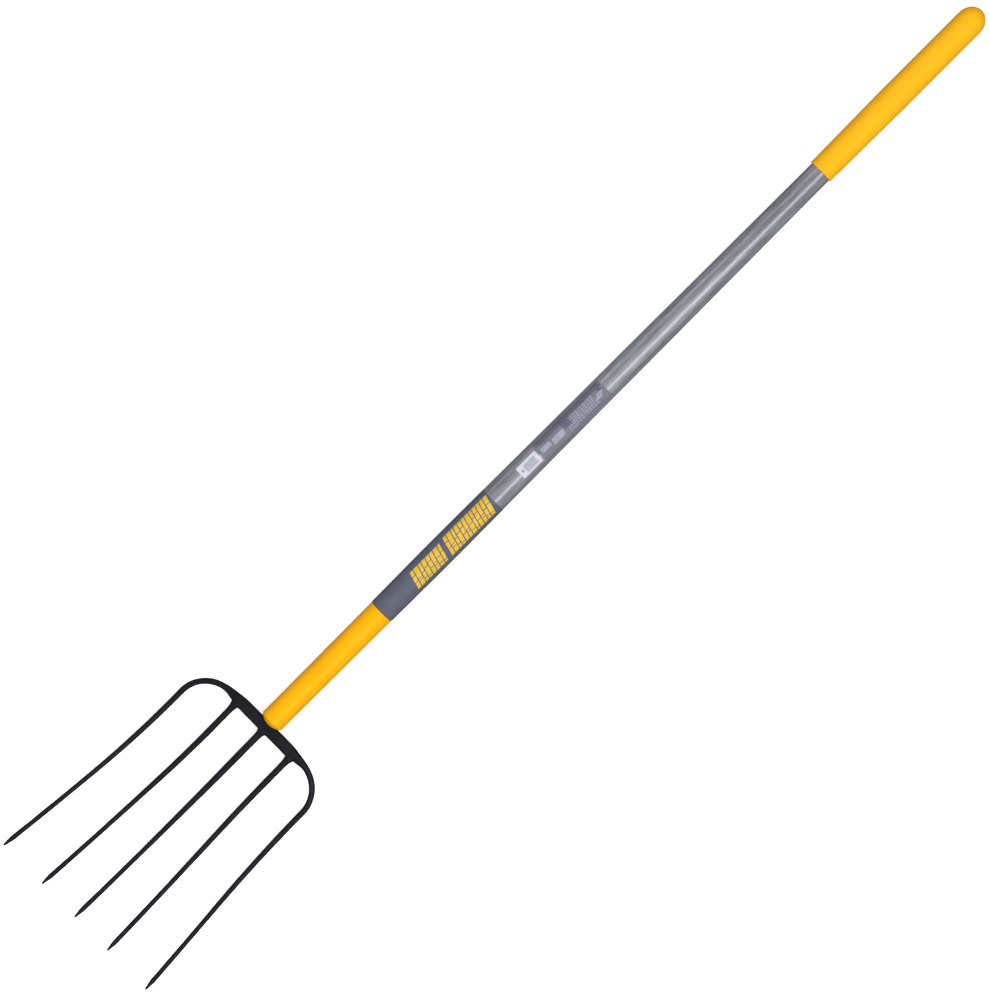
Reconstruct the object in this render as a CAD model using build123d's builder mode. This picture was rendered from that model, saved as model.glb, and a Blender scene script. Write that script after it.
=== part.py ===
from build123d import *

import os
from math import asin, cos, degrees, hypot, radians, sin, sqrt, tan

# A five-tine fork with a long straight hardwood handle, in millimetres.
#
# The fork lies on a floor at Z = 0 with the hollow side of its tines up. The handle's axis is level and
# runs along Y, the tines point to -Y and the grip to +Y, and X = 0 is the plane of symmetry. The origin
# is on the floor at the middle of the fork's length.

# Driving dimensions, from the tips of the tines to the end of the grip
overall_length = 1565.4
length_above_head = 1234.1      # foot of the ferrule to the end of the grip
grip_radius = 18.3

# Head
head_width = 211.4              # between the centre lines of the outer tines
bar_below_foot = 3.9            # crossbar's centre line below the foot of the ferrule
bar_depth = 15.8                # along the handle, at the middle
bar_thickness = 11.0            # from front to back, at the middle
bow_radius = 44.0
bow_section = (7.8, 8.6)        # across the bend, and from front to back
inner_tine_offset = 47.1
straight_root = 44.0            # length of a tine before its curve starts
root_slope = 10.0               # degrees down towards the floor
tip_slope = 26.0                # degrees up at the tip
slender_width = 6.3
slender_from = 230.0            # distance from the crossbar at which a tine has thinned down
point_length = 13.0
blunt_tip = 2.6
tine_thickness_ratio = 1.1      # front to back, for each unit of width
belly_height = 4.2              # centre lines of the tines above the floor, where they lie lowest

# Tang, inside the ferrule and the handle
tang_length = 132.0
tang_root_radius = 6.0
tang_end_radius = 3.4

# Ferrule
ferrule_length = 197.5
ferrule_foot_radius = 16.1
ferrule_top_radius = 16.9
ferrule_wall = 1.5
ferrule_dome_rise = 6.8
fit_gap = 0.08                  # between hidden faces that touch on the real tool

# Pin through the ferrule, the wood and the tang
pin_up_ferrule = 42.0
pin_radius = 2.1
pin_head_radius = 4.2
pin_head_height = 1.3
pin_depth_past_axis = 10.0

# Handle
handle_length = 1219.0
handle_starts_above_foot = 8.8
handle_end_rounding = 8.0
handle_under_grip_radius = 15.0
# Radius of the turned handle at fractions of the way from the ferrule to the grip
handle_taper = [(0.0, 17.2), (0.13, 17.8), (0.37, 16.95), (0.56, 16.4), (0.76, 15.7), (1.0, 15.0)]

# Grip
grip_length = 277.0
grip_rim_radius = 16.9
grip_cylinder_starts = 118.0    # up from its lower rim
grip_dome_length = 21.5

# Films and sticker on the front of the handle: distance of each end above the foot, and the width
# seen from the front. The name film is wider than the handle and wraps round past its sides.
film_thickness = 0.12
film_wraps_below_axis = 7.0
name_decal_place = (199.0, 392.0, 40.0)
price_label_place = (438.0, 470.0, 17.5)
info_decal_place = (472.0, 586.0, 27.0)

# Worked out from the above
axis_height = grip_radius
grip_end_y = overall_length / 2
foot_y = grip_end_y - length_above_head
bar_y = foot_y - bar_below_foot
tine_reach = bar_y + overall_length / 2
ferrule_top_y = foot_y + ferrule_length
grip_rim_y = grip_end_y - grip_length
handle_start_y = foot_y + handle_starts_above_foot
handle_end_y = handle_start_y + handle_length

curve_radius = (tine_reach - straight_root) / (sin(radians(root_slope)) + sin(radians(tip_slope)))
curve_start_height = belly_height + curve_radius * (1 - cos(radians(root_slope)))
bar_height = curve_start_height + straight_root * tan(radians(root_slope))
dome_radius = (ferrule_foot_radius**2 + ferrule_dome_rise**2) / (2 * ferrule_dome_rise)

handle_axis = Axis((0, 0, axis_height), (0, 1, 0))
level = Plane.XY.offset(axis_height)

# Each tine: distance of its root from the middle, root width, and where it flares outwards
centre_tine = {"offset": 0.0, "width": 9.0, "flare": 0.0, "from": 40.0, "to": 140.0}
inner_tine = {"offset": inner_tine_offset, "width": 8.3, "flare": 2.45, "from": 40.0, "to": 140.0}
outer_tine = {"offset": head_width / 2, "width": bow_section[0], "flare": 5.0, "from": 37.0, "to": 200.0}


def tine_slope(reach):
    """Slope of a tine in degrees, positive upwards, at a distance in front of the crossbar."""
    if reach <= straight_root:
        return -root_slope
    return degrees(asin((reach - straight_root) / curve_radius - sin(radians(root_slope))))


def tine_height(reach):
    """Height of a tine's centre line above the floor."""
    if reach <= straight_root:
        return bar_height - reach * tan(radians(root_slope))
    return belly_height + curve_radius * (1 - cos(radians(tine_slope(reach))))


def tine_offset(tine, reach):
    """Distance of a tine's centre line from the plane of symmetry."""
    flare = radians(tine["flare"])
    if flare == 0 or reach <= tine["from"]:
        return tine["offset"]
    flare_radius = (tine["to"] - tine["from"]) / sin(flare)
    bent = min(reach, tine["to"]) - tine["from"]
    beyond = max(reach - tine["to"], 0)
    return tine["offset"] + flare_radius - sqrt(flare_radius**2 - bent**2) + beyond * tan(flare)


def tine_width(tine, reach):
    """Width of a tine seen from the front: a smooth taper, an even stretch, then a short point."""
    share = min(reach / slender_from, 1)
    blend = share * share * (3 - 2 * share)
    width = tine["width"] + (slender_width - tine["width"]) * blend
    to_tip = (tine_reach - reach) / point_length
    if to_tip < 1:
        width = blunt_tip + (width - blunt_tip) * to_tip
    return width


def tine_section_plane(tine, side, reach):
    """Plane across a tine, with its X axis level."""
    step = 0.5
    before = max(reach - step, 0)
    after = min(reach + step, tine_reach)
    sideways = side * (tine_offset(tine, after) - tine_offset(tine, before))
    forward = (sideways, before - after, tine_height(after) - tine_height(before))
    origin = (side * tine_offset(tine, reach), bar_y - reach, tine_height(reach))
    return Plane(origin=origin, x_dir=(1, 0, 0), z_dir=forward)


def handle_radius_points(growth):
    """Points of the tapered handle's outline in the level plane, moved outwards by growth."""
    exposed = grip_rim_y - ferrule_top_y
    return [(radius + growth, ferrule_top_y + share * exposed) for share, radius in handle_taper]


def ferrule_bore_radius(y):
    """Inner radius of the ferrule at a place along the handle."""
    share = (y - foot_y) / ferrule_length
    return ferrule_foot_radius + (ferrule_top_radius - ferrule_foot_radius) * share - ferrule_wall


def tang_radius(y):
    """Radius of the tang, which tapers away from the crossbar."""
    share = (y - bar_y) / tang_length
    return tang_root_radius + (tang_end_radius - tang_root_radius) * share


# Head: crossbar, bows, tines and tang in one forging
bow_start_x = head_width / 2 - bow_radius
bow_slope = radians(root_slope)
down_the_tines = Vector(0, -cos(bow_slope), -sin(bow_slope))
# Crossbar at distances from the middle: depth and thickness
bar_sections = [
    (0, bar_depth, bar_thickness),
    (30, bar_depth - 0.4, bar_thickness - 0.2),
    (43, bar_depth - 1.8, bar_thickness - 0.6),
    (54, bow_section[0] + 2.8, bow_section[1] + 0.8),
    (bow_start_x, bow_section[0], bow_section[1]),
]

with BuildPart() as fork_head:
    # Crossbar, from one bow to the other
    other_half = [(-x, depth, thickness) for x, depth, thickness in reversed(bar_sections[1:])]
    for x, depth, thickness in other_half + bar_sections:
        across = Plane(origin=(x, bar_y, bar_height), x_dir=down_the_tines, z_dir=(1, 0, 0))
        with BuildSketch(across):
            RectangleRounded(depth, thickness, 0.42 * thickness)
    loft()

    for side in (-1, 1):
        # The crossbar's end bends round into the outer tine
        outwards = Vector(side, 0, 0)
        bend_start = Vector(side * bow_start_x, bar_y, bar_height)
        bend_centre = bend_start + down_the_tines * bow_radius
        bend_plane = Plane(origin=bend_centre, x_dir=outwards, z_dir=down_the_tines.cross(outwards))
        with BuildLine(bend_plane):
            CenterArc((0, 0), bow_radius, 90, -90)
        with BuildSketch(Plane(origin=bend_start, x_dir=down_the_tines, z_dir=outwards)):
            Ellipse(bow_section[0] / 2, bow_section[1] / 2)
        sweep()

    # Tines: a long even taper, then the point
    point_start = tine_reach - point_length
    for tine, sides, start in (
        (centre_tine, (1,), 0.0),
        (inner_tine, (-1, 1), 0.0),
        (outer_tine, (-1, 1), straight_root - 0.7),
    ):
        for side in sides:
            for first, last, spans in ((start, point_start, 8), (point_start, tine_reach, 4)):
                for span in range(spans + 1):
                    reach = first + (last - first) * span / spans
                    width = tine_width(tine, reach)
                    with BuildSketch(tine_section_plane(tine, side, reach)):
                        Ellipse(width / 2, width * tine_thickness_ratio / 2)
                loft()

    # Dished seat in the crossbar for the foot of the ferrule
    with BuildSketch(level) as seat_outline:
        with BuildLine():
            clear = 0.15
            seat_edge = (ferrule_foot_radius + clear, foot_y + ferrule_dome_rise - clear)
            Line((0, foot_y - clear), (0, foot_y + 30))
            Line((0, foot_y + 30), (seat_edge[0] + 0.3, foot_y + 30))
            Line((seat_edge[0] + 0.3, foot_y + 30), seat_edge)
            RadiusArc(seat_edge, (0, foot_y - clear), dome_radius)
        make_face()
    revolve(axis=handle_axis, mode=Mode.SUBTRACT)

    # Tang
    with BuildSketch(level):
        with BuildLine():
            Polyline(
                (0, bar_y - 3),
                (tang_root_radius, bar_y - 3),
                (tang_root_radius, bar_y),
                (tang_end_radius, bar_y + tang_length),
                (tang_end_radius - 1.5, bar_y + tang_length + 5),
                (0, bar_y + tang_length + 5),
                close=True,
            )
        make_face()
    revolve(axis=handle_axis)

    # Hole for the pin
    with Locations((0, foot_y + pin_up_ferrule, axis_height)):
        Cylinder(pin_radius + fit_gap, 4 * tang_root_radius, mode=Mode.SUBTRACT)
fork_head.part.label = "fork_head"

# Ferrule: a tapered tube whose foot is closed in to a dome round the tang
foot_hole = tang_radius(foot_y) + fit_gap
hole_rise = dome_radius - sqrt(dome_radius**2 - foot_hole**2)
with BuildPart() as ferrule:
    with BuildSketch(level):
        with BuildLine():
            shoulder_y = foot_y + ferrule_dome_rise
            outer_foot = (ferrule_foot_radius, shoulder_y)
            inner_foot = (ferrule_foot_radius - ferrule_wall, shoulder_y + 0.4)
            hole_edge = (foot_hole, foot_y + hole_rise)
            hole_inner_edge = (foot_hole, foot_y + hole_rise + ferrule_wall)
            RadiusArc(outer_foot, hole_edge, dome_radius)
            Line(hole_edge, hole_inner_edge)
            RadiusArc(hole_inner_edge, inner_foot, -dome_radius + ferrule_wall)
            Polyline(
                inner_foot,
                (ferrule_top_radius - ferrule_wall, ferrule_top_y),
                (ferrule_top_radius - 0.4, ferrule_top_y),
                (ferrule_top_radius, ferrule_top_y - 0.6),
                outer_foot,
            )
        make_face()
    revolve(axis=handle_axis)
    shoulder_edges = ferrule.edges().filter_by(GeomType.CIRCLE)
    shoulder_edge = shoulder_edges.filter_by(lambda e: abs(e.center().Y - shoulder_y) < 0.01)
    fillet(shoulder_edge, 1.2)
    with Locations((0, foot_y + pin_up_ferrule, axis_height - ferrule_top_radius)):
        Cylinder(pin_radius + fit_gap, ferrule_top_radius, mode=Mode.SUBTRACT)
ferrule.part.label = "ferrule"

# Handle: turned from one piece of hardwood
with BuildPart() as handle:
    with BuildSketch(level):
        with BuildLine():
            taper = Spline(*handle_radius_points(0))
            seat_foot = (ferrule_bore_radius(handle_start_y) - fit_gap, handle_start_y)
            seat_top = (ferrule_bore_radius(ferrule_top_y) - fit_gap, ferrule_top_y + fit_gap)
            rounding_y = handle_end_y - handle_end_rounding
            flat_end_radius = handle_under_grip_radius - handle_end_rounding
            Polyline(
                (0, handle_start_y),
                (seat_foot[0] - 1, seat_foot[1]),
                (seat_foot[0], seat_foot[1] + 1),
                seat_top,
                taper @ 0,
            )
            Line(taper @ 1, (handle_under_grip_radius, rounding_y))
            RadiusArc(
                (handle_under_grip_radius, rounding_y),
                (flat_end_radius, handle_end_y),
                -handle_end_rounding,
            )
            Polyline((flat_end_radius, handle_end_y), (0, handle_end_y), (0, handle_start_y))
        make_face()
    revolve(axis=handle_axis)
    # Bore for the tang
    with BuildSketch(level):
        with BuildLine():
            Polyline(
                (0, handle_start_y - 1),
                (tang_radius(handle_start_y - 1) + fit_gap, handle_start_y - 1),
                (tang_end_radius + fit_gap, bar_y + tang_length),
                (tang_end_radius + fit_gap, bar_y + tang_length + 6),
                (0, bar_y + tang_length + 6),
                close=True,
            )
        make_face()
    revolve(axis=handle_axis, mode=Mode.SUBTRACT)
    # Blind hole for the pin, from the back
    pin_hole_depth = ferrule_top_radius + pin_depth_past_axis + fit_gap
    pin_hole_middle = axis_height + pin_depth_past_axis + fit_gap - pin_hole_depth / 2
    with Locations((0, foot_y + pin_up_ferrule, pin_hole_middle)):
        Cylinder(pin_radius + fit_gap, pin_hole_depth, mode=Mode.SUBTRACT)
handle.part.label = "handle"

# Pin: a straight shank with a low domed head at the back
ferrule_back = axis_height - ferrule_bore_radius(foot_y + pin_up_ferrule) - ferrule_wall
pin_axis = Axis((0, foot_y + pin_up_ferrule, 0), (0, 0, 1))
with BuildPart() as ferrule_pin:
    with BuildSketch(Plane.XZ.offset(-(foot_y + pin_up_ferrule))):
        with BuildLine():
            head_back = ferrule_back - pin_head_height
            Line((0, head_back), (0, axis_height + pin_depth_past_axis))
            Polyline(
                (0, axis_height + pin_depth_past_axis),
                (pin_radius - 0.6, axis_height + pin_depth_past_axis),
                (pin_radius, axis_height + pin_depth_past_axis - 1.5),
                (pin_radius, ferrule_back),
                (pin_head_radius, ferrule_back),
            )
            head_dome_radius = (pin_head_radius**2 + pin_head_height**2) / (2 * pin_head_height)
            RadiusArc((pin_head_radius, ferrule_back), (0, head_back), head_dome_radius)
        make_face()
    revolve(axis=pin_axis)
ferrule_pin.part.label = "ferrule_pin"

# Grip: a soft sleeve with a closed, domed end
with BuildPart() as cushion_grip:
    with BuildSketch(level):
        with BuildLine():
            dome_y = grip_end_y - grip_dome_length
            bore = handle_under_grip_radius + fit_gap
            bore_end_y = handle_end_y + fit_gap
            rounding_y = bore_end_y - handle_end_rounding
            Polyline(
                (bore, grip_rim_y + 0.5),
                (bore + 0.5, grip_rim_y),
                (grip_rim_radius - 0.8, grip_rim_y),
                (grip_rim_radius, grip_rim_y + 0.8),
                (grip_radius, grip_rim_y + grip_cylinder_starts),
                (grip_radius, dome_y),
            )
            Spline(
                (grip_radius, dome_y),
                (grip_radius * sqrt(0.5), dome_y + grip_dome_length * sqrt(0.5)),
                (0, grip_end_y),
                tangents=((0, 1), (-1, 0)),
            )
            Line((0, grip_end_y), (0, bore_end_y))
            Line((0, bore_end_y), (bore - handle_end_rounding, bore_end_y))
            RadiusArc(
                (bore - handle_end_rounding, bore_end_y),
                (bore, rounding_y),
                handle_end_rounding,
            )
            Line((bore, rounding_y), (bore, grip_rim_y + 0.5))
        make_face()
    revolve(axis=handle_axis)
cushion_grip.part.label = "cushion_grip"


def handle_film(start, end, width):
    """A thin film on the front of the handle, a hair's breadth above the wood."""
    with BuildPart() as film:
        with BuildSketch(level):
            with BuildLine():
                under = Spline(*handle_radius_points(0.02))
                over = Spline(*handle_radius_points(0.02 + film_thickness))
                Line(under @ 0, over @ 0)
                Line(under @ 1, over @ 1)
            make_face()
        revolve(axis=handle_axis)
        keep_height = 2 * grip_radius
        keep_middle = axis_height - film_wraps_below_axis + keep_height / 2
        with Locations((0, foot_y + (start + end) / 2, keep_middle)):
            Box(width, end - start, keep_height, mode=Mode.INTERSECT)
    return film.part


name_decal = handle_film(*name_decal_place)
name_decal.label = "name_decal"
price_label = handle_film(*price_label_place)
price_label.label = "price_label"
info_decal = handle_film(*info_decal_place)
info_decal.label = "info_decal"

os.makedirs("parts", exist_ok=True)
for piece in (
    fork_head.part,
    ferrule.part,
    handle.part,
    ferrule_pin.part,
    cushion_grip.part,
    name_decal,
    price_label,
    info_decal,
):
    export_step(piece, f"parts/{piece.label}.step")
    print(piece.label, "volume", round(piece.volume / 1000, 2), "cm3")
print("tine length", round(hypot(tine_reach, tine_height(tine_reach) - bar_height)))
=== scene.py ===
import math

import bmesh
import bpy
import numpy as np
from mathutils import Matrix, Vector, noise


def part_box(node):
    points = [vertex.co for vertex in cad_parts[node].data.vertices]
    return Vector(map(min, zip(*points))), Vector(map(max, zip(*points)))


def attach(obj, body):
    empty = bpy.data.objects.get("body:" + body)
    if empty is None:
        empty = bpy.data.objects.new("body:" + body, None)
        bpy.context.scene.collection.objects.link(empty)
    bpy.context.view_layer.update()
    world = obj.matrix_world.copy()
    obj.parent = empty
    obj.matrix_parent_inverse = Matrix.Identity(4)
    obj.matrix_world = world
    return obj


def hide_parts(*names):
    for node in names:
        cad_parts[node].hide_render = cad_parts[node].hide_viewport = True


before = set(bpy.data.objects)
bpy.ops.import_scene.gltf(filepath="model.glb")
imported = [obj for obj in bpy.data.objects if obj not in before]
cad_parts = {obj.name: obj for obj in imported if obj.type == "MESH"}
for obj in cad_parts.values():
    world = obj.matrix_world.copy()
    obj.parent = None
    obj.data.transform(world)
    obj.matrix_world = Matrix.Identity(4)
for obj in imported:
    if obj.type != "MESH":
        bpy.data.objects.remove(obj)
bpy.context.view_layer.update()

MM = 0.001


# ---------------------------------------------------------------------------------------------------------
# Places, from the frame. The handle's axis is level and runs along Y.
# ---------------------------------------------------------------------------------------------------------

grip_low, grip_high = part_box("cushion_grip")
ferrule_low, ferrule_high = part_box("ferrule")
head_low, head_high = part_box("fork_head")

AXIS_Z = (grip_low.z + grip_high.z) / 2
GRIP_RIM_Y = grip_low.y
GRIP_END_Y = grip_high.y
GRIP_RADIUS = (grip_high.x - grip_low.x) / 2
FERRULE_TOP_Y = ferrule_high.y
FERRULE_TOP_RADIUS = (ferrule_high.x - ferrule_low.x) / 2
FERRULE_LENGTH = 197.5 * MM
FERRULE_WALL = 1.5 * MM
FOOT_Y = FERRULE_TOP_Y - FERRULE_LENGTH
FOOT_RADIUS = 16.1 * MM
FOOT_RISE = 6.8 * MM            # of the ferrule's domed foot
FOOT_DOME_RADIUS = (FOOT_RADIUS**2 + FOOT_RISE**2) / (2 * FOOT_RISE)
TIP_Y = head_low.y


def outline_of(node):
    """The outer radius of a turned CAD node along the handle, as a function of Y."""
    points = {}
    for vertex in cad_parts[node].data.vertices:
        x, y, z = vertex.co
        # The step down into the ferrule is not part of the outline
        if node == "handle" and (y < FERRULE_TOP_Y - 0.02 * MM or 0.02 * MM < y - FERRULE_TOP_Y < 0.5 * MM):
            continue
        key = round(y, 5)
        points[key] = max(points.get(key, 0.0), math.hypot(x, z - AXIS_Z))
    places = sorted(points)
    radii = [points[y] for y in places]
    return lambda y: float(np.interp(y, places, radii))


# ---------------------------------------------------------------------------------------------------------
# Mesh helpers
# ---------------------------------------------------------------------------------------------------------


def add_piece(name, vertices, faces, material, replaces=()):
    """A smooth-shaded mesh piece that rides on the part's one body."""
    mesh = bpy.data.meshes.new(name)
    mesh.from_pydata(vertices, [], faces)
    mesh.update()
    piece = bpy.data.objects.new(name, mesh)
    bpy.context.scene.collection.objects.link(piece)
    finish_piece(piece, material, replaces)
    return piece


def finish_piece(piece, material, replaces=()):
    piece.data.materials.clear()
    piece.data.materials.append(material)
    for polygon in piece.data.polygons:
        polygon.use_smooth = True
    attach(piece, "root")
    if replaces:
        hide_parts(*replaces)


def mesh_arrays(rings, closed_ends=True):
    """Vertices and faces of a tube through rings, each a list of points in order."""
    count = len(rings[0])
    vertices = [point for ring in rings for point in ring]
    faces = []
    for r in range(len(rings) - 1):
        for i in range(count):
            j = (i + 1) % count
            faces.append((r * count + i, r * count + j, (r + 1) * count + j, (r + 1) * count + i))
    if closed_ends:
        faces.append(tuple(reversed(range(count))))
        last = (len(rings) - 1) * count
        faces.append(tuple(range(last, last + count)))
    return vertices, faces


def joined(shells):
    """One list of vertices and one of faces from several."""
    vertices, faces = [], []
    for shell_vertices, shell_faces in shells:
        first = len(vertices)
        vertices += shell_vertices
        faces += [tuple(first + i for i in face) for face in shell_faces]
    return vertices, faces


def lathe_rings(outline, segments, ripple=None):
    """Rings round the handle's axis through an outline of (y, radius) points."""
    rings = []
    for y, radius in outline:
        ring = []
        for i in range(segments):
            angle = 2 * math.pi * i / segments
            r = radius + (ripple(y, angle) if ripple else 0.0)
            ring.append((r * math.sin(angle), y, AXIS_Z + r * math.cos(angle)))
        rings.append(ring)
    return rings


# ---------------------------------------------------------------------------------------------------------
# Material helpers
# ---------------------------------------------------------------------------------------------------------


class Nodes:
    """A short way to write a node tree."""

    def __init__(self, name):
        self.material = bpy.data.materials.new(name)
        self.material.use_nodes = True
        self.tree = self.material.node_tree
        self.tree.nodes.clear()
        self.output = self.tree.nodes.new("ShaderNodeOutputMaterial")
        self.shader = self.tree.nodes.new("ShaderNodeBsdfPrincipled")
        self.tree.links.new(self.shader.outputs[0], self.output.inputs["Surface"])
        self.place = self.tree.nodes.new("ShaderNodeTexCoord").outputs["Object"]

    def set(self, **values):
        for key, value in values.items():
            self.shader.inputs[key.replace("_", " ")].default_value = value

    def link(self, source, socket_name):
        self.tree.links.new(source, self.shader.inputs[socket_name])

    def stretch(self, scale, offset=(0, 0, 0)):
        """Object coordinates in metres, scaled along each axis."""
        mapping = self.tree.nodes.new("ShaderNodeMapping")
        mapping.inputs["Scale"].default_value = scale
        mapping.inputs["Location"].default_value = offset
        self.tree.links.new(self.place, mapping.inputs["Vector"])
        return mapping.outputs[0]

    def noise(self, scale=(1, 1, 1), size=1.0, detail=4.0, roughness=0.5, distortion=0.0, offset=(0, 0, 0)):
        node = self.tree.nodes.new("ShaderNodeTexNoise")
        node.inputs["Scale"].default_value = size
        node.inputs["Detail"].default_value = detail
        node.inputs["Roughness"].default_value = roughness
        node.inputs["Distortion"].default_value = distortion
        self.tree.links.new(self.stretch(scale, offset), node.inputs["Vector"])
        return node.outputs[0]

    def cells(self, scale, size=1.0):
        node = self.tree.nodes.new("ShaderNodeTexVoronoi")
        node.inputs["Scale"].default_value = size
        self.tree.links.new(self.stretch(scale), node.inputs["Vector"])
        return node.outputs["Distance"]

    def ramp(self, source, stops):
        """Colours, or greys given as numbers, along a 0 to 1 value."""
        node = self.tree.nodes.new("ShaderNodeValToRGB")
        elements = node.color_ramp.elements
        while len(elements) < len(stops):
            elements.new(0.5)
        for element, (position, colour) in zip(elements, stops):
            element.position = position
            grey = isinstance(colour, (int, float))
            element.color = (colour, colour, colour, 1) if grey else (*colour, 1)
        self.tree.links.new(source, node.inputs[0])
        return node.outputs[0]

    def mix(self, blend, first, second, factor=1.0):
        node = self.tree.nodes.new("ShaderNodeMix")
        node.data_type = "RGBA"
        node.blend_type = blend
        for value, socket in ((factor, node.inputs[0]), (first, node.inputs[6]), (second, node.inputs[7])):
            if isinstance(value, bpy.types.NodeSocket):
                self.tree.links.new(value, socket)
            elif isinstance(value, tuple):
                socket.default_value = (*value, 1)
            else:
                socket.default_value = value
        return node.outputs[2]

    def math(self, operation, first, second=0.0):
        node = self.tree.nodes.new("ShaderNodeMath")
        node.operation = operation
        for value, socket in zip((first, second), node.inputs):
            if isinstance(value, bpy.types.NodeSocket):
                self.tree.links.new(value, socket)
            else:
                socket.default_value = value
        return node.outputs[0]

    def bump(self, height, depth, strength=1.0, under=None):
        """A bump whose height runs over depth metres. under is the bump below it."""
        node = self.tree.nodes.new("ShaderNodeBump")
        node.inputs["Strength"].default_value = strength
        node.inputs["Distance"].default_value = depth
        self.tree.links.new(height, node.inputs["Height"])
        if under is not None:
            self.tree.links.new(under, node.inputs["Normal"])
        return node.outputs[0]


def forged_black():
    """Black coated forging: slightly uneven gloss, fine scale marks and fine greyer specks scattered at
    random.
    """
    m = Nodes("forged_black")
    mottle = m.noise(size=60, detail=5)
    tint = m.ramp(mottle, [(0.3, (0.004, 0.0035, 0.006)), (0.7, (0.010, 0.0085, 0.014))])
    specks = m.ramp(m.noise(size=900, detail=2), [(0.60, 0.0), (0.75, 1.0)])
    colour = m.mix("MIX", tint, (0.022, 0.021, 0.027), m.math("MULTIPLY", specks, 0.3))
    m.link(colour, "Base Color")
    m.link(m.ramp(m.noise(size=140, detail=4), [(0.3, 0.30), (0.7, 0.44)]), "Roughness")
    m.shader.inputs["Specular IOR Level"].default_value = 0.13
    hammer = m.bump(m.noise(size=220, detail=3), 0.25 * MM, 0.5)
    m.link(m.bump(m.noise(size=1500, detail=2), 0.05 * MM, 0.4, hammer), "Normal")
    return m.material


def yellow_paint():
    """Powder-coated steel: fine orange peel and faint handling marks."""
    m = Nodes("yellow_paint")
    tint = m.ramp(m.noise(size=35, detail=3), [(0.35, (0.83, 0.376, 0.003)), (0.65, (0.87, 0.398, 0.004))])
    scuff = m.ramp(m.noise((1, 0.06, 1), size=700, detail=3), [(0.62, 0.0), (0.8, 1.0)])
    colour = m.mix("MIX", tint, (0.72, 0.38, 0.02), m.math("MULTIPLY", scuff, 0.25))
    m.link(colour, "Base Color")
    m.link(m.ramp(m.noise(size=260, detail=3), [(0.3, 0.36), (0.7, 0.48)]), "Roughness")
    m.shader.inputs["Specular IOR Level"].default_value = 0.35
    m.shader.inputs["Specular Tint"].default_value = (1.0, 0.72, 0.12, 1)
    m.link(m.bump(m.noise(size=620, detail=2), 0.06 * MM, 0.5), "Normal")
    return m.material


def yellow_foam():
    """Soft vinyl sleeve: dull, slightly cloudy, with a fine pebbled skin."""
    m = Nodes("yellow_foam")
    cloud = m.noise(size=28, detail=4)
    tint = m.ramp(cloud, [(0.35, (0.85, 0.415, 0.009)), (0.65, (0.89, 0.438, 0.012))])
    speckle = m.ramp(m.noise(size=1300, detail=2), [(0.3, 0.93), (0.6, 1.0)])
    m.link(m.mix("MULTIPLY", tint, speckle), "Base Color")
    m.link(m.ramp(m.noise(size=90, detail=3), [(0.3, 0.52), (0.7, 0.62)]), "Roughness")
    m.set(Subsurface_Weight=0.06, Subsurface_Scale=0.004)
    m.shader.inputs["Subsurface Radius"].default_value = (1.0, 0.5, 0.1)
    m.shader.inputs["Specular IOR Level"].default_value = 0.3
    m.shader.inputs["Specular Tint"].default_value = (1.0, 0.72, 0.15, 1)
    pebble = m.bump(m.cells((1, 1, 1), 900), 0.05 * MM, 0.35)
    m.link(m.bump(m.noise(size=120, detail=2), 0.12 * MM, 0.3, pebble), "Normal")
    return m.material


def stained_wood():
    """Straight-grained hardwood under a grey stain and clear lacquer. The grain runs along Y."""
    m = Nodes("stained_wood")
    rings = m.tree.nodes.new("ShaderNodeTexWave")
    rings.wave_type = "RINGS"
    rings.rings_direction = "Y"
    rings.inputs["Scale"].default_value = 62
    rings.inputs["Distortion"].default_value = 5.0
    rings.inputs["Detail"].default_value = 2.0
    rings.inputs["Detail Scale"].default_value = 0.6
    m.tree.links.new(m.stretch((1, 0.035, 1), (0.021, 0, 0.034)), rings.inputs["Vector"])
    fibre = m.noise((1, 0.03, 1), size=1400, detail=5, roughness=0.65)
    streak = m.noise((1, 0.07, 1), size=520, detail=4, roughness=0.6)
    cloud = m.noise((1, 0.3, 1), size=40, detail=3)
    base = m.ramp(rings.outputs["Fac"], [(0.1, (0.152, 0.152, 0.181)), (0.9, (0.222, 0.220, 0.258))])
    base = m.mix("MULTIPLY", base, m.ramp(streak, [(0.3, 0.62), (0.7, 1.25)]), 0.85)
    base = m.mix("MULTIPLY", base, m.ramp(cloud, [(0.3, 0.80), (0.7, 1.18)]), 0.9)
    pores = m.ramp(fibre, [(0.36, 0.40), (0.50, 1.0)])
    m.link(m.mix("MULTIPLY", base, pores, 0.6), "Base Color")
    m.link(m.ramp(streak, [(0.3, 0.30), (0.7, 0.46)]), "Roughness")
    m.set(Coat_Weight=1.0, Coat_Roughness=0.30, Coat_IOR=1.6)
    grain = m.bump(fibre, 0.05 * MM, 0.45)
    m.link(m.bump(m.noise((1, 0.05, 1), size=90, detail=2), 0.2 * MM, 0.35, grain), "Normal")
    m.tree.links.new(
        m.bump(m.noise((1, 0.06, 1), size=120, detail=2), 0.12 * MM, 0.3), m.shader.inputs["Coat Normal"]
    )
    return m.material


def printed_film(name, low, high, roughness=0.5, specular=0.25):
    """A printed vinyl film: even ink, very slightly mottled by the wood under it."""
    m = Nodes(name)
    m.link(m.ramp(m.noise((1, 0.12, 1), size=420, detail=4), [(0.3, low), (0.7, high)]), "Base Color")
    sheen = m.noise(size=300, detail=2)
    m.link(m.ramp(sheen, [(0.3, roughness - 0.04), (0.7, roughness + 0.06)]), "Roughness")
    m.shader.inputs["Specular IOR Level"].default_value = specular
    m.link(m.bump(m.noise((1, 0.08, 1), size=260, detail=3), 0.05 * MM, 0.4), "Normal")
    return m.material


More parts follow.
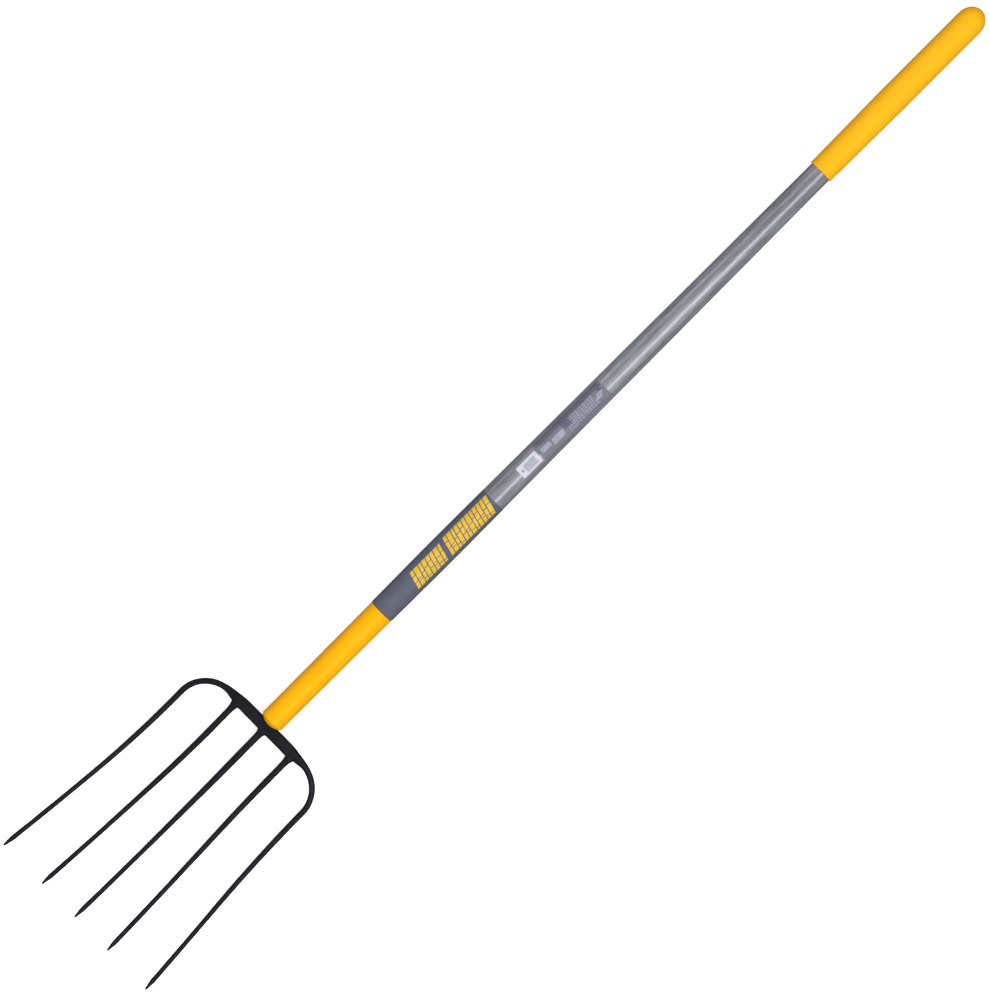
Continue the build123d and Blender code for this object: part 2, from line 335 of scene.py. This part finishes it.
def zinc_steel():
    """Dull zinc plating, cloudy and finely scratched."""
    m = Nodes("zinc_steel")
    cloud = m.noise(size=1400, detail=4)
    m.link(m.ramp(cloud, [(0.3, (0.42, 0.42, 0.44)), (0.7, (0.62, 0.62, 0.63))]), "Base Color")
    m.link(m.ramp(m.noise(size=900, detail=3), [(0.3, 0.28), (0.7, 0.45)]), "Roughness")
    m.set(Metallic=1.0)
    m.link(m.bump(m.noise(size=2200, detail=2), 0.03 * MM, 0.5), "Normal")
    return m.material


def studio_floor():
    """Pale translucent acrylic, lit from below as well, so that shadows on it stay faint."""
    m = Nodes("studio_floor")
    m.set(Base_Color=(0.92, 0.92, 0.92, 1), Roughness=0.9)
    m.set(Emission_Color=(1, 1, 1, 1), Emission_Strength=0.55)
    m.shader.inputs["Specular IOR Level"].default_value = 0.0
    return m.material


# ---------------------------------------------------------------------------------------------------------
# Turned pieces: handle, ferrule, grip
# ---------------------------------------------------------------------------------------------------------

WOOD_SHOULDER = 2.0 * MM       # rounding of the wood where it meets the ferrule
handle_outline = outline_of("handle")
grip_outline = outline_of("cushion_grip")


def wood_ripple(y, angle):
    """The turned handle is a hair out of true, and never stands proud of its CAD outline."""
    wave = noise.noise(Vector((1.3 * math.sin(angle), y * 9, 1.3 * math.cos(angle))))
    return (wave - 0.7) * 0.05 * MM


def shaft_radius(y):
    """The handle's outline, rounded down where it meets the ferrule."""
    shoulder = min(max((y - FERRULE_TOP_Y) / WOOD_SHOULDER, 0.0), 1.0)
    rounding = WOOD_SHOULDER * 0.7 * (1 - math.sqrt(1 - (1 - shoulder) ** 2))
    return handle_outline(max(y, FERRULE_TOP_Y + 0.3 * MM)) - rounding


def wood_radius(y, angle=0.0):
    return shaft_radius(y) + wood_ripple(y, angle)


def make_handle(material):
    """From just inside the ferrule's mouth to just inside the grip."""
    inside = 14 * MM
    seat_radius = FERRULE_TOP_RADIUS - FERRULE_WALL - 0.2 * MM
    outline = [(FERRULE_TOP_Y - inside, seat_radius), (FERRULE_TOP_Y - 0.1 * MM, seat_radius)]
    for i in range(9):
        y = FERRULE_TOP_Y + WOOD_SHOULDER * (i / 8) ** 1.6    # closer together near the ferrule
        outline.append((y, shaft_radius(y)))
    steps = 420
    first = FERRULE_TOP_Y + WOOD_SHOULDER
    last = GRIP_RIM_Y + inside
    for i in range(1, steps + 1):
        y = first + (last - first) * i / steps
        outline.append((y, shaft_radius(y)))
    vertices, faces = mesh_arrays(lathe_rings(outline, 96, wood_ripple))
    return add_piece("handle_wood", vertices, faces, material, ["handle"])


def dome_height(radius):
    """Y of the ferrule's domed foot at a distance from its axis."""
    return FOOT_Y + FOOT_DOME_RADIUS - math.sqrt(FOOT_DOME_RADIUS**2 - radius**2)


def make_ferrule(material):
    """Tapered tube with a rolled mouth and a foot closed in round the tang."""
    wall = FERRULE_WALL
    hole = TANG_ROOT_RADIUS
    shoulder = 2.2 * MM
    outline = []
    for i in range(17):
        r = hole + (FOOT_RADIUS - shoulder * 0.5 - hole) * i / 16
        outline.append((dome_height(r), r))
    dome_y, dome_r = outline[-1]
    side_y = dome_y + shoulder
    for i in range(1, 7):
        share = i / 6
        y = dome_y + (side_y - dome_y) * share
        outline.append((y, dome_r + (FOOT_RADIUS - dome_r) * (1 - (1 - share) ** 2)))
    start_y, start_r = outline[-1]
    for i in range(1, 61):
        share = i / 60
        y = start_y + (FERRULE_TOP_Y - 0.5 * MM - start_y) * share
        outline.append((y, start_r + (FERRULE_TOP_RADIUS - start_r) * share))
    rim = 0.5 * MM
    for i in range(1, 6):
        turn = math.pi / 2 * i / 5
        y = FERRULE_TOP_Y - rim * (1 - math.sin(turn))
        outline.append((y, FERRULE_TOP_RADIUS - rim * (1 - math.cos(turn))))
    mouth = FERRULE_TOP_RADIUS - wall
    outline += [(FERRULE_TOP_Y, mouth + 0.3 * MM), (FERRULE_TOP_Y - 0.3 * MM, mouth)]
    outline += [(FERRULE_TOP_Y - 20 * MM, mouth), (FOOT_Y + 16 * MM, FOOT_RADIUS - wall)]
    outline += [(FOOT_Y + FOOT_RISE + wall, FOOT_RADIUS - wall), (FOOT_Y + wall + 1.2 * MM, hole)]
    rings = lathe_rings(outline, 96)
    vertices, faces = mesh_arrays(rings + [rings[0]], closed_ends=False)
    piece = add_piece("ferrule_tube", vertices, faces, material, ["ferrule"])
    weld(piece)
    return piece


def weld(piece, distance=0.001 * MM):
    mesh = bmesh.new()
    mesh.from_mesh(piece.data)
    bmesh.ops.remove_doubles(mesh, verts=mesh.verts, dist=distance)
    bmesh.ops.recalc_face_normals(mesh, faces=mesh.faces)
    mesh.to_mesh(piece.data)
    mesh.free()
    piece.data.update()


def grip_ripple(y, angle):
    """Soft vinyl is never quite even. The ripple only goes inwards."""
    wave = noise.noise(Vector((0.9 * math.sin(angle), y * 14, 0.9 * math.cos(angle))))
    return (wave - 0.7) * 0.16 * MM


def make_grip(material):
    """Closed sleeve, rounded at the rim and domed at the end."""
    lip = 1.1 * MM
    wood = handle_outline(GRIP_RIM_Y)
    rim_radius = grip_outline(GRIP_RIM_Y + lip)
    outline = [(GRIP_RIM_Y + 12 * MM, wood - 0.3 * MM), (GRIP_RIM_Y + 0.8 * MM, wood + 0.05 * MM)]
    outline.append((GRIP_RIM_Y + 0.2 * MM, wood + 0.5 * MM))
    for i in range(7):
        turn = math.pi / 2 * i / 6
        y = GRIP_RIM_Y + lip * (1 - math.cos(turn))
        outline.append((y, rim_radius - lip * (1 - math.sin(turn))))
    dome_length = 21.5 * MM
    dome_y = GRIP_END_Y - dome_length
    steps = 110
    for i in range(1, steps + 1):
        y = GRIP_RIM_Y + lip + (dome_y - GRIP_RIM_Y - lip) * i / steps
        outline.append((y, grip_outline(y)))
    for i in range(1, 25):
        turn = math.pi / 2 * i / 24
        outline.append((dome_y + dome_length * math.sin(turn), max(GRIP_RADIUS * math.cos(turn), 0.02 * MM)))

    def ripple(y, angle):
        fade = min(max((GRIP_END_Y - y) / (12 * MM), 0.0), 1.0)
        return grip_ripple(y, angle) * fade

    vertices, faces = mesh_arrays(lathe_rings(outline, 96, ripple))
    return add_piece("grip_sleeve", vertices, faces, material, ["cushion_grip"])


# ---------------------------------------------------------------------------------------------------------
# Head: one forging. Rough bars are joined, remeshed into one skin, then eased and given hammer marks.
# ---------------------------------------------------------------------------------------------------------

HEAD_WIDTH = 211.4 * MM
BAR_Y = FOOT_Y - 3.9 * MM
BAR_DEPTH = 15.8 * MM
BAR_THICKNESS = 11.0 * MM
BOW_RADIUS = 44.0 * MM
BOW_DEPTH = 7.8 * MM
BOW_THICKNESS = 8.6 * MM
INNER_TINE_X = 47.1 * MM
STRAIGHT_ROOT = 44.0 * MM
ROOT_SLOPE = math.radians(10)
TIP_SLOPE = math.radians(26)
SLENDER_WIDTH = 6.3 * MM
SLENDER_FROM = 230.0 * MM
POINT_LENGTH = 13.0 * MM
BLUNT_TIP = 2.6 * MM
TINE_THICKNESS_RATIO = 1.1
BELLY_Z = 4.2 * MM
TINE_REACH = BAR_Y - TIP_Y
CURVE_RADIUS = (TINE_REACH - STRAIGHT_ROOT) / (math.sin(ROOT_SLOPE) + math.sin(TIP_SLOPE))
BAR_Z = BELLY_Z + CURVE_RADIUS * (1 - math.cos(ROOT_SLOPE)) + STRAIGHT_ROOT * math.tan(ROOT_SLOPE)
TANG_LENGTH = 132.0 * MM
TANG_ROOT_RADIUS = 6.0 * MM
TANG_END_RADIUS = 3.4 * MM
ROOT_WEB = 4.0 * MM             # extra width of the forged web where a tine leaves the crossbar
VOXEL = 0.76 * MM
RING_POINTS = 28

# Distance of the root from the middle, root width, flare angle, and where the flare starts and ends
CENTRE_TINE = (0.0, 9.0 * MM, 0.0, 40 * MM, 140 * MM)
INNER_TINE = (INNER_TINE_X, 8.3 * MM, math.radians(2.45), 40 * MM, 140 * MM)
OUTER_TINE = (HEAD_WIDTH / 2, BOW_DEPTH, math.radians(5.0), 37 * MM, 200 * MM)


def tine_point(tine, side, reach):
    """Centre line of a tine at a distance in front of the crossbar."""
    x, _, flare, start, end = tine
    if flare and reach > start:
        flare_radius = (end - start) / math.sin(flare)
        bent = min(reach, end) - start
        x += flare_radius - math.sqrt(flare_radius**2 - bent**2) + max(reach - end, 0) * math.tan(flare)
    if reach <= STRAIGHT_ROOT:
        z = BAR_Z - reach * math.tan(ROOT_SLOPE)
    else:
        slope = math.asin((reach - STRAIGHT_ROOT) / CURVE_RADIUS - math.sin(ROOT_SLOPE))
        z = BELLY_Z + CURVE_RADIUS * (1 - math.cos(slope))
    return Vector((side * x, BAR_Y - reach, z))


def tine_width(tine, reach):
    share = min(reach / SLENDER_FROM, 1)
    blend = share * share * (3 - 2 * share)
    width = tine[1] + (SLENDER_WIDTH - tine[1]) * blend
    to_tip = TINE_REACH - reach
    if to_tip < POINT_LENGTH:
        width = BLUNT_TIP + (width - BLUNT_TIP) * to_tip / POINT_LENGTH
    if to_tip < BLUNT_TIP / 2:
        width *= math.sqrt(max(1 - (1 - to_tip / (BLUNT_TIP / 2)) ** 2, 0.04))
    return width


def superellipse(width, thickness, squareness):
    """Points round a bar's outline: squareness 2 gives an ellipse, and more is squarer."""
    points = []
    for i in range(RING_POINTS):
        angle = 2 * math.pi * i / RING_POINTS
        c, s = math.cos(angle), math.sin(angle)
        across = math.copysign(abs(c) ** (2 / squareness), c) * width / 2
        above = math.copysign(abs(s) ** (2 / squareness), s) * thickness / 2
        points.append((across, above))
    return points


def section_ring(centre, forward, width, thickness, squareness=2.0):
    """A ring across a bar that runs forward."""
    sideways = Vector((1, 0, 0))
    if abs(forward.normalized().x) > 0.9:
        sideways = Vector((0, 1, 0))
    up = forward.cross(sideways).normalized()
    sideways = up.cross(forward).normalized()
    ring = []
    for across, above in superellipse(width, thickness, squareness):
        ring.append(tuple(centre + sideways * across + up * above))
    return ring


def bar_along(stations):
    """Rings through (centre, width, thickness, squareness) stations."""
    rings = []
    for i, (centre, width, thickness, squareness) in enumerate(stations):
        before = stations[max(i - 1, 0)][0]
        after = stations[min(i + 1, len(stations) - 1)][0]
        rings.append(section_ring(centre, after - before, width, thickness, squareness))
    return mesh_arrays(rings)


def smooth_blend(value, start, end):
    share = min(max((value - start) / (end - start), 0.0), 1.0)
    return share * share * (3 - 2 * share)


def crossbar_stations():
    """Across the middle and round both bows, as one bar."""
    down = Vector((0, -math.cos(ROOT_SLOPE), -math.sin(ROOT_SLOPE)))
    bow_start = HEAD_WIDTH / 2 - BOW_RADIUS
    stations = []

    def section(along):
        """Depth, thickness and squareness at a distance along the bar from its middle."""
        narrow = smooth_blend(along, 36 * MM, 76 * MM)
        depth = BAR_DEPTH + (BOW_DEPTH - BAR_DEPTH) * narrow
        thickness = BAR_THICKNESS + (BOW_THICKNESS - BAR_THICKNESS) * narrow
        return depth, thickness, 3.0 - 0.8 * narrow

    for i in range(41):
        x = bow_start * i / 40
        stations.append((Vector((x, BAR_Y, BAR_Z)), *section(x)))
    centre = Vector((bow_start, BAR_Y, BAR_Z)) + down * BOW_RADIUS
    for i in range(1, 31):
        turn = math.pi / 2 * i / 30
        point = centre - down * BOW_RADIUS * math.cos(turn) + Vector((BOW_RADIUS * math.sin(turn), 0, 0))
        stations.append((point, *section(bow_start + BOW_RADIUS * turn)))
    return stations


def tine_stations(tine, side, start, root_swell):
    """root_swell is the extra width of the forged web where the tine leaves the crossbar."""
    stations = []
    shaft_end = TINE_REACH - POINT_LENGTH
    reaches = [start + (shaft_end - start) * i / 80 for i in range(80)]
    reaches += [shaft_end + POINT_LENGTH * (1 - (1 - i / 24) ** 2) for i in range(25)]
    for reach in reaches:
        width = tine_width(tine, reach)
        web = root_swell * math.exp(-max(reach - 7.5 * MM, 0.0) / (3.0 * MM))
        thickness = width * TINE_THICKNESS_RATIO + 0.25 * web
        squareness = 2.0 + 0.35 * smooth_blend(reach, 150 * MM, 30 * MM)
        stations.append((tine_point(tine, side, reach), width + web, thickness, squareness))
    return stations


def rough_head():
    """All the bars of the forging, still separate shells in one mesh."""
    shells = []
    half = crossbar_stations()
    other = [(Vector((-p.x, p.y, p.z)), w, t, s) for p, w, t, s in reversed(half[1:])]
    shells.append(crossbar_shell(other + half))
    shells.append(bar_along(tine_stations(CENTRE_TINE, 1, 0.0, ROOT_WEB)))
    for side in (-1, 1):
        shells.append(bar_along(tine_stations(INNER_TINE, side, 0.0, ROOT_WEB)))
        shells.append(bar_along(tine_stations(OUTER_TINE, side, STRAIGHT_ROOT - 2 * MM, 0.0)))
    shells.append(tang_shell())
    return joined(shells)


def crossbar_shell(stations):
    """The crossbar turns through a right angle at each end, so its rings keep one common plane."""
    normal = Vector((0, math.sin(ROOT_SLOPE), -math.cos(ROOT_SLOPE)))
    rings = []
    for i, (centre, depth, thickness, squareness) in enumerate(stations):
        before = stations[max(i - 1, 0)][0]
        after = stations[min(i + 1, len(stations) - 1)][0]
        forward = (after - before).normalized()
        inwards = normal.cross(forward).normalized()
        outline = superellipse(depth, thickness, squareness)
        rings.append([tuple(centre + inwards * across + normal * above) for across, above in outline])
    return mesh_arrays(rings)


def tang_radius(y):
    share = min(max((y - BAR_Y) / TANG_LENGTH, 0.0), 1.0)
    return TANG_ROOT_RADIUS + (TANG_END_RADIUS - TANG_ROOT_RADIUS) * share


def tang_shell():
    steps = 40
    outline = []
    for i in range(steps + 1):
        y = BAR_Y - 2 * MM + (TANG_LENGTH + 4 * MM) * i / steps
        outline.append((y, tang_radius(y)))
    return mesh_arrays(lathe_rings(outline, RING_POINTS))


def seat_height(radius):
    """The dished seat for the ferrule's foot: the highest Y that the crossbar may reach."""
    return dome_height(radius) - 0.15 * MM


def make_head(material):
    vertices, faces = rough_head()
    mesh = bpy.data.meshes.new("fork_head_skin")
    mesh.from_pydata(vertices, [], faces)
    piece = bpy.data.objects.new("fork_head_skin", mesh)
    bpy.context.scene.collection.objects.link(piece)
    remesh = piece.modifiers.new("remesh", "REMESH")
    remesh.mode = "VOXEL"
    remesh.voxel_size = VOXEL
    apply_modifiers(piece)
    shape_head(piece)
    finish_piece(piece, material, ["fork_head"])
    return piece


def apply_modifiers(piece):
    """Bakes a piece's modifiers into its mesh."""
    bpy.context.view_layer.update()
    evaluated = piece.evaluated_get(bpy.context.evaluated_depsgraph_get())
    result = bpy.data.meshes.new_from_object(evaluated)
    piece.modifiers.clear()
    piece.data = result
    piece.data.name = piece.name


def neighbour_average(points, edges):
    """Each vertex's mean over its neighbours."""
    total = np.zeros_like(points)
    count = np.zeros(len(points))
    for a, b in ((0, 1), (1, 0)):
        np.add.at(total, edges[:, a], points[edges[:, b]])
        np.add.at(count, edges[:, a], 1)
    return total / np.maximum(count, 1)[:, None]


def shape_head(piece):
    """Eases the joints between the bars into forged fillets, cuts the seat and adds hammer marks."""
    mesh = piece.data
    points = np.empty(len(mesh.vertices) * 3)
    mesh.vertices.foreach_get("co", points)
    points = points.reshape(-1, 3)
    edges = np.empty(len(mesh.edges) * 2, dtype=np.int64)
    mesh.edges.foreach_get("vertices", edges)
    edges = edges.reshape(-1, 2)
    reach = BAR_Y - points[:, 1]
    near_bar = np.clip((26 * MM - np.abs(reach - 8 * MM)) / (12 * MM), 0, 1)
    near_bar *= np.clip((62 * MM - np.abs(points[:, 0])) / (10 * MM), 0, 1)
    # Each step in is followed by a slightly larger step out, so that nothing gets thinner
    for step in range(14):
        weight = near_bar if step > 1 else np.maximum(near_bar, 0.6)
        for share in (0.60, -0.62):
            points += (neighbour_average(points, edges) - points) * (share * weight)[:, None]
    radius = np.hypot(points[:, 0], points[:, 2] - AXIS_Z)
    for i in np.nonzero((radius < 16.4 * MM) & (points[:, 1] > BAR_Y))[0]:
        if radius[i] > tang_radius(points[i, 1]) + 0.5 * MM:
            points[i, 1] = min(points[i, 1], seat_height(radius[i]))
    mesh.vertices.foreach_set("co", points.ravel())
    mesh.update()
    normals = np.empty(len(mesh.vertices) * 3)
    mesh.vertices.foreach_get("normal", normals)
    normals = normals.reshape(-1, 3)
    for i, point in enumerate(points):
        place = Vector(point)
        dent = noise.noise(place * 170) * 0.07 + noise.noise(place * 60) * 0.12
        points[i] += normals[i] * dent * MM
    points = np.clip(points, np.array(head_low), np.array(head_high))
    mesh.vertices.foreach_set("co", points.ravel())
    mesh.update()


# ---------------------------------------------------------------------------------------------------------
# Films and sticker. They are laid out flat, in distance along the handle and distance round it.
# ---------------------------------------------------------------------------------------------------------


# Lift off the wood and thickness
FILM = (0.02 * MM, 0.07 * MM)
NAME_FILM = (0.03 * MM, 0.07 * MM)
NAME_PRINT = (0.11 * MM, 0.03 * MM)
STICKER = (0.02 * MM, 0.08 * MM)
STICKER_PRINT = (0.105 * MM, 0.02 * MM)
DARK_PRINT_AND_SHADE = (0.095 * MM, 0.02 * MM)
PALE_PRINT = (0.115 * MM, 0.02 * MM)


def on_handle(y, across, lift):
    """Point on the handle at a distance round it from the front, lifted off the wood."""
    angle = across / wood_radius(y)
    radius = wood_radius(y, angle) + lift
    return (radius * math.sin(angle), y, AXIS_Z + radius * math.cos(angle))


def wrapped_patch(corner_lines, layer, along_steps, across_steps):
    """A thin curved plate. corner_lines gives (y, across) for u and v from 0 to 1."""
    lift, thickness = layer
    vertices, faces = [], []
    for level in (lift, lift + thickness):
        for i in range(along_steps + 1):
            for j in range(across_steps + 1):
                y, across = corner_lines(i / along_steps, j / across_steps)
                vertices.append(on_handle(y, across, level))
    row = across_steps + 1
    layer = (along_steps + 1) * row
    for i in range(along_steps):
        for j in range(across_steps):
            a = i * row + j
            faces.append((a, a + row, a + row + 1, a + 1))
            faces.append((layer + a, layer + a + 1, layer + a + row + 1, layer + a + row))
    rim = [i * row for i in range(along_steps)]
    rim += [along_steps * row + j for j in range(across_steps)]
    rim += [i * row + across_steps for i in range(along_steps, 0, -1)]
    rim += [j for j in range(across_steps, 0, -1)]
    for a, b in zip(rim, rim[1:] + rim[:1]):
        faces.append((a, layer + a, layer + b, b))
    return vertices, faces


def slanted(y_start, length, low, high, slant):
    """A block from y_start that leans by slant over its height."""

    def corner_lines(u, v):
        across = low + (high - low) * v
        return y_start + length * u + slant * (v - 0.5), across

    return corner_lines


def make_printed_piece(name, patches, material, replaces=()):
    """One piece from any number of thin plates."""
    vertices, faces = joined(patches)
    piece = add_piece(name, vertices, faces, material, replaces)
    weld(piece)
    flat_rims(piece)
    return piece


def flat_rims(piece):
    """Keeps a thin plate's rim crisp."""
    mesh = bmesh.new()
    mesh.from_mesh(piece.data)
    for edge in mesh.edges:
        if len(edge.link_faces) == 2 and edge.calc_face_angle(0.0) > math.radians(40):
            edge.smooth = False
    mesh.to_mesh(piece.data)
    mesh.free()


def make_name_film(film_material, ink_material):
    """A dark film that wraps past the handle's sides, with a plain pattern of slanted bars in two groups."""
    low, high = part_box("name_decal")
    wrap = wood_radius(low.y) * math.radians(112)
    first = FERRULE_TOP_Y + 0.25 * MM    # the film runs up to the ferrule's mouth
    film = wrapped_patch(slanted(first, high.y - first, -wrap, wrap, 0.0), NAME_FILM, 240, 72)
    make_printed_piece("name_film", [film], film_material, ["name_decal"])
    patches = []
    gap = 1.3 * MM
    lean = -6.5 * MM
    # Start, lower and upper edge in millimetres, number of bars and how much wider or narrower they are
    groups = ((54.5, -8.4, 15.2, 8, 1.0), (113.0, -10.6, 15.4, 12, 0.95))
    for start, lower_edge, upper_edge, count, stretch in groups:
        height = upper_edge - lower_edge
        y = low.y + start * MM
        for k in range(count):
            width = (6.2, 7.8, 5.4, 7.0, 6.6)[k % 5] * stretch * MM
            # Thin dark lines cut each bar in three, at different places from its neighbours
            cuts = (0.30 + 0.09 * (k * 3 % 4), 0.62 + 0.08 * (k * 5 % 4))
            for bottom, top in zip((0.0, *cuts), (*cuts, 1.0)):
                shift = lean * ((bottom + top) / 2 - 0.5)
                low_side = lower_edge + bottom * height + (0.45 if bottom > 0 else 0.0)
                high_side = lower_edge + top * height - (0.45 if top < 1 else 0.0)
                bar = slanted(y + shift, width - gap, low_side * MM, high_side * MM, lean * (top - bottom))
                patches.append(wrapped_patch(bar, NAME_PRINT, 3, 7))
            y += width
    return make_printed_piece("name_pattern", patches, ink_material)


def make_price_label(paper, ink):
    """A pale sticker with a plain grey panel on it."""
    low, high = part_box("price_label")
    bottom, top = -6.4 * MM, 10.6 * MM
    length = high.y - low.y
    sheet = wrapped_patch(slanted(low.y, length, bottom, top, 0.0), STICKER, 20, 20)
    make_printed_piece("price_sticker", [sheet], paper, ["price_label"])
    patches = []
    for k in range(6):
        across = bottom + (3.9 + 1.75 * k) * MM
        bar = slanted(low.y + 8.5 * MM, length - 13.5 * MM, across, across + 1.15 * MM, 0.0)
        patches.append(wrapped_patch(bar, STICKER_PRINT, 8, 2))
    block = slanted(low.y + 3.6 * MM, 2.6 * MM, bottom + 6.5 * MM, bottom + 10.5 * MM, 0.0)
    patches.append(wrapped_patch(block, STICKER_PRINT, 3, 5))
    make_printed_piece("price_sticker_ink", patches, ink)


def make_info_film(film_material, ink_material, pale_material):
    """A greyish film with a dark band along its -X edge, partly print and partly painted shade on the side
    the lamps leave darker, with soft pale panels and rows of short plain rules.
    """
    low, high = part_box("info_decal")
    half = 14.0 * MM
    film = wrapped_patch(slanted(low.y, high.y - low.y, -half, half, 0.0), FILM, 60, 36)
    make_printed_piece("info_film", [film], film_material, ["info_decal"])
    length = high.y - low.y
    # Start, length, edges and slant of each block, in millimetres
    # The first block, the long band along the -X edge, is partly print and partly painted shade; the other
    # two are printed spots.
    dark = []
    for start, size, bottom, top, lean in (
        (1, length / MM - 3, -13.4, -6.0, 2),
        (42, 14, -6.0, 2.4, 2),
        (104, 7, -6.0, 0.0, 2),
    ):
        block = slanted(low.y + (start + 1) * MM, size * MM - 2 * MM, bottom * MM, top * MM, lean * MM)
        dark.append(wrapped_patch(block, DARK_PRINT_AND_SHADE, 40, 8))
    make_printed_piece("info_film_dark", dark, ink_material)
    pale = []
    for start, size, bottom, top, lean in (
        (4, 15, -2.2, 4.2, 1),
        (22, 19, -1.0, 7.0, -2),
        (97, 10, -1.0, 5.5, -7),
    ):
        block = slanted(low.y + start * MM, size * MM, bottom * MM, top * MM, lean * MM)
        pale.append(wrapped_patch(block, PALE_PRINT, 12, 6))
    # Rows of rules. The two farthest from the dark band start earlier
    for row in range(5):
        across = (-4.4 + 3.1 * row) * MM
        y = low.y + (58 if across < 3 * MM else 48) * MM
        stop = low.y + 94 * MM
        k = 0
        while y < stop:
            dash = (1.8 + 0.9 * ((k * 7 + row * 3) % 3)) * MM
            rule = slanted(y, dash, across - 0.75 * MM, across + 0.75 * MM, 0.0)
            pale.append(wrapped_patch(rule, PALE_PRINT, 2, 2))
            y += dash + 1.5 * MM
            k += 1
    make_printed_piece("info_film_rules", pale, pale_material)


# ---------------------------------------------------------------------------------------------------------
# Stage: floor, light and camera
# ---------------------------------------------------------------------------------------------------------


def make_floor(material):
    size = 30.0
    mesh = bpy.data.meshes.new("floor")
    corners = [(-size, -size, 0), (size, -size, 0), (size, size, 0), (-size, size, 0)]
    mesh.from_pydata([(x, y, -0.0004) for x, y, _ in corners], [], [(0, 1, 2, 3)])
    floor = bpy.data.objects.new("floor", mesh)
    bpy.context.scene.collection.objects.link(floor)
    floor.data.materials.append(material)
    floor.visible_diffuse = False
    floor.visible_glossy = False
    floor.visible_shadow = False


def add_softbox(name, place, size_x, size_y, radiance):
    """A rectangular light whose long side is level, along the handle, and which faces the handle's axis.
    radiance is what a mirror would see in it."""
    light = bpy.data.lights.new(name, "AREA")
    light.shape = "RECTANGLE"
    light.size = size_x
    light.size_y = size_y
    light.energy = radiance * math.pi * size_x * size_y
    softbox = bpy.data.objects.new(name, light)
    bpy.context.scene.collection.objects.link(softbox)
    back = Vector((place[0], 0, place[2])).normalized()
    along = Vector((0, 1, 0))
    axes = Matrix((along.cross(back), along, back)).transposed()
    softbox.matrix_world = Matrix.Translation(place) @ axes.to_4x4()
    softbox.visible_camera = False
    return softbox


def make_sky():
    """A big soft tent: brightest high up all round, dim at the horizon and below."""
    world = bpy.data.worlds.new("studio")
    world.use_nodes = True
    tree = world.node_tree
    direction = tree.nodes.new("ShaderNodeTexCoord").outputs["Generated"]
    split = tree.nodes.new("ShaderNodeSeparateXYZ")
    tree.links.new(direction, split.inputs[0])
    height = tree.nodes.new("ShaderNodeMapRange")
    height.inputs["From Min"].default_value = -1.0
    tree.links.new(split.outputs["Z"], height.inputs["Value"])
    ramp = tree.nodes.new("ShaderNodeValToRGB")
    elements = ramp.color_ramp.elements
    levels = [(0.0, 0.20), (0.5, 0.26), (0.64, 0.50), (0.82, 0.95), (0.95, 0.80), (1.0, 0.70)]
    while len(elements) < len(levels):
        elements.new(0.5)
    for element, (position, level) in zip(elements, levels):
        element.position = position
        element.color = (0.98 * level, 0.99 * level, level, 1)
    tree.links.new(height.outputs[0], ramp.inputs[0])
    tree.links.new(ramp.outputs[0], tree.nodes["Background"].inputs[0])
    bpy.context.scene.world = world


def light_scene():
    make_sky()
    add_softbox("strip_right", (1.15, 0.0, 2.2), 0.50, 3.6, 8.6)
    fill = add_softbox("fill_left", (-2.2, 0.0, 0.9), 0.60, 3.6, 1.3)
    fill.visible_glossy = False
    view = bpy.context.scene.view_settings
    view.view_transform = "Standard"
    view.look = "None"
    view.exposure = 0.0
    view.gamma = 1.0


def make_camera():
    """Almost square above the fork, a long way off, turned so that the grip is at the upper right."""
    focal_length = 145.2
    distance = 4.901
    spin = math.radians(-45 + 0.04)
    tilt = math.radians(2.32)
    roll_about_handle = math.radians(-2.90)
    slide = (-0.0405, -0.0377)
    tilted = Matrix.Rotation(tilt, 3, "X") @ Matrix.Rotation(roll_about_handle, 3, "Y")
    to_world = (Matrix.Rotation(spin, 3, "Z") @ tilted).transposed()
    camera_data = bpy.data.cameras.new("camera")
    camera_data.sensor_width = 36.0
    camera_data.lens = focal_length
    camera_data.clip_end = 100
    camera = bpy.data.objects.new("camera", camera_data)
    bpy.context.scene.collection.objects.link(camera)
    place = Vector((0, 0, AXIS_Z)) + to_world @ Vector((slide[0], slide[1], distance))
    camera.matrix_world = Matrix.Translation(place) @ to_world.to_4x4()
    bpy.context.scene.camera = camera


# ---------------------------------------------------------------------------------------------------------
# Putting it together
# ---------------------------------------------------------------------------------------------------------

make_camera()
light_scene()
make_floor(studio_floor())

make_handle(stained_wood())
make_ferrule(yellow_paint())
grip = make_grip(yellow_foam())
make_head(forged_black())

slate = printed_film("slate_film", (0.082, 0.090, 0.122), (0.102, 0.110, 0.146), 0.6, 0.15)
yellow_ink = printed_film("yellow_ink", (0.60, 0.375, 0.026), (0.72, 0.450, 0.040))
white_paper = printed_film("white_paper", (0.50, 0.50, 0.57), (0.57, 0.57, 0.64), 0.6)
grey_ink = printed_film("grey_ink", (0.24, 0.24, 0.30), (0.30, 0.30, 0.36), 0.6)
info_blue = printed_film("info_blue", (0.135, 0.140, 0.175), (0.175, 0.180, 0.220))
dark_blue = printed_film("dark_blue", (0.086, 0.090, 0.130), (0.112, 0.117, 0.158))
pale_ink = printed_film("pale_ink", (0.24, 0.25, 0.31), (0.30, 0.31, 0.38))
make_name_film(slate, yellow_ink)
make_price_label(white_paper, grey_ink)
make_info_film(info_blue, dark_blue, pale_ink)

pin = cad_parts["ferrule_pin"]
pin.data.materials.clear()
pin.data.materials.append(zinc_steel())
